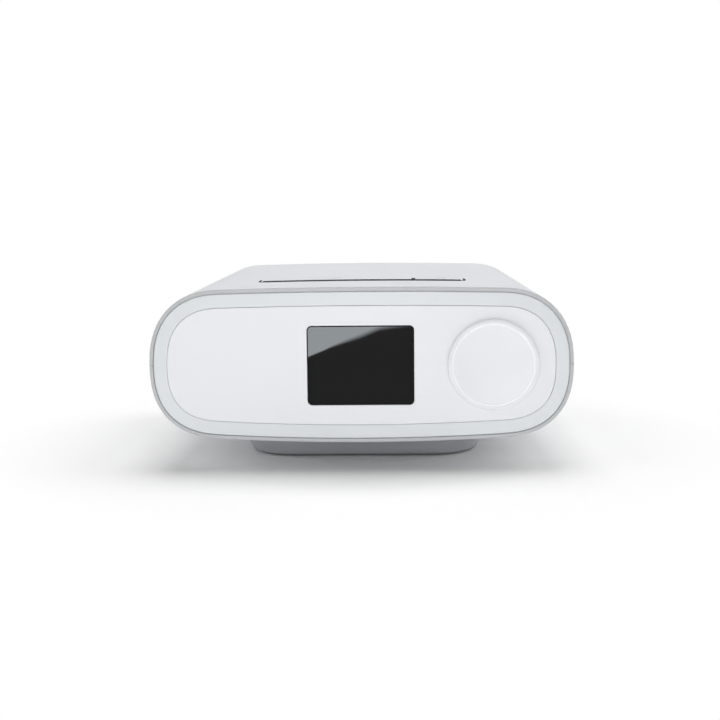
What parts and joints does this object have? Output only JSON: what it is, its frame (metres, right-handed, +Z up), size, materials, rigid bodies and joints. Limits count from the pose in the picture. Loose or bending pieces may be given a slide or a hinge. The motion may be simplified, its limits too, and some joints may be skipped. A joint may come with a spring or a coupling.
{
  "type": "bilevel pap machine",
  "caption": "Bedside bilevel airway pressure machine: pill-shaped white housing on a low grey base, with a dark display, a dished press-and-turn dial, top keys and a rear air outlet.",
  "frame": {"origin": "on the table, under the middle of the overall box: the plane of the rubber feet is Z 0", "axes": "+X across the face towards the dial, +Y back from the face towards the air outlet, +Z up"},
  "size_m": [0.193, 0.157, 0.0847],
  "materials": {
    "shell_white": "satin white moulded plastic",
    "shell_grey": "matt light grey moulded plastic",
    "rim_grey": "satin mid grey plastic",
    "bezel_silver": "silver-white satin plastic",
    "panel_white": "satin white moulded plastic",
    "window_dark": "glossy near-black window",
    "dial_white": "satin white moulded plastic",
    "key_white": "satin white moulded plastic",
    "gasket_rubber": "matt dark grey soft plastic",
    "base_grey": "matt grey plastic",
    "foot_rubber": "matt dark rubber",
    "port_white": "smooth white plastic",
    "frame_grey": "plain grey plastic",
    "circuit_board": "green solder mask",
    "flex_film": "amber film",
    "steel": "plain steel",
    "aluminium": "turned aluminium",
    "brass": "turned brass",
    "copper": "lacquered copper windings",
    "dark_plastic": "matt black plastic",
    "chip_black": "matt black packages",
    "card_plastic": "matt dark blue plastic",
    "filter_foam": "open grey foam",
    "filter_paper": "pleated filter paper",
    "silicone": "translucent silicone rubber",
    "acoustic_foam": "soft dark foam",
    "blower_plastic": "grey glass-filled plastic",
    "impeller_plastic": "ivory plastic"
  },
  "bodies": {
    "housing": {"top_cover": "shell_white", "bottom_cover": "shell_grey", "rear_cover": "shell_white", "rim_upper": "rim_grey", "rim_lower": "rim_grey", "front_bezel": "bezel_silver", "front_panel": "panel_white", "display_window": "window_dark", "lcd_module": "steel", "front_frame": "frame_grey", "ui_board": "circuit_board", "ribbon_cable": "flex_film", "encoder_body": "steel", "encoder_bush": "brass", "button_gasket": "gasket_rubber", "button_board": "circuit_board", "tact_switches": "dark_plastic", "base": "base_grey", "feet": "foot_rubber", "case_screws": "steel", "door_pin": "steel", "filter_frame": "frame_grey", "pollen_filter": "filter_foam", "fine_filter": "filter_paper", "sd_socket": "steel", "accessory_cover": "shell_grey", "accessory_connector": "dark_plastic", "air_outlet_port": "port_white", "outlet_bellows": "silicone", "flow_element": "frame_grey", "air_box": "frame_grey", "air_box_lid": "frame_grey", "sound_foam": "acoustic_foam", "blower_base": "blower_plastic", "blower_top": "blower_plastic", "motor_stator": "copper", "lower_bearing": "steel", "upper_bearing": "steel", "isolators": "silicone", "main_board": "circuit_board", "board_parts": "chip_black", "power_jack": "dark_plastic", "pressure_sensor": "frame_grey", "sensor_tube": "silicone", "speaker": "dark_plastic"},
    "dial_plunger": {"push_slider": "dark_plastic"},
    "dial": {"control_dial": "dial_white", "dial_cap": "dial_white", "encoder_shaft": "aluminium"},
    "therapy_key": {"therapy_button": "key_white"},
    "ramp_key": {"ramp_button": "key_white"},
    "door": {"filter_door": "shell_white"},
    "memory_card": {"sd_card": "card_plastic"},
    "rotor": {"impeller": "impeller_plastic", "motor_rotor": "dark_plastic", "motor_shaft": "steel"}
  },
  "joints": [
    {"name": "dial_press", "type": "slide", "parent": "housing", "child": "dial_plunger", "axis": [0, 1, 0], "range_m": [0, 0.0008], "stiffness_N_per_m": 1000, "springref_m": -0.001},
    {"name": "dial_turn", "type": "hinge", "parent": "dial_plunger", "child": "dial", "pos_m": [0.06, -0.0785, 0.0485], "axis": [0, -1, 0], "continuous": true},
    {"name": "therapy_press", "type": "slide", "parent": "housing", "child": "therapy_key", "axis": [0, 0, -1], "range_m": [0, 0.0008], "stiffness_N_per_m": 1000, "springref_m": -0.001},
    {"name": "ramp_press", "type": "slide", "parent": "housing", "child": "ramp_key", "axis": [0, 0, -1], "range_m": [0, 0.0008], "stiffness_N_per_m": 1000, "springref_m": -0.001},
    {"name": "filter_door_open", "type": "hinge", "parent": "housing", "child": "door", "pos_m": [0.08453, 0.01963, 0.02996], "axis": [-0.0682, 0.9977, 0], "range_deg": [0, 80]},
    {"name": "memory_card_push", "type": "slide", "parent": "housing", "child": "memory_card", "axis": [-1, 0, 0], "range_m": [0, 0.001], "stiffness_N_per_m": 800, "springref_m": -0.001},
    {"name": "rotor_spin", "type": "hinge", "parent": "housing", "child": "rotor", "pos_m": [0.005, 0.01065, 0.05], "axis": [0, 0, 1], "continuous": true}
  ]
}
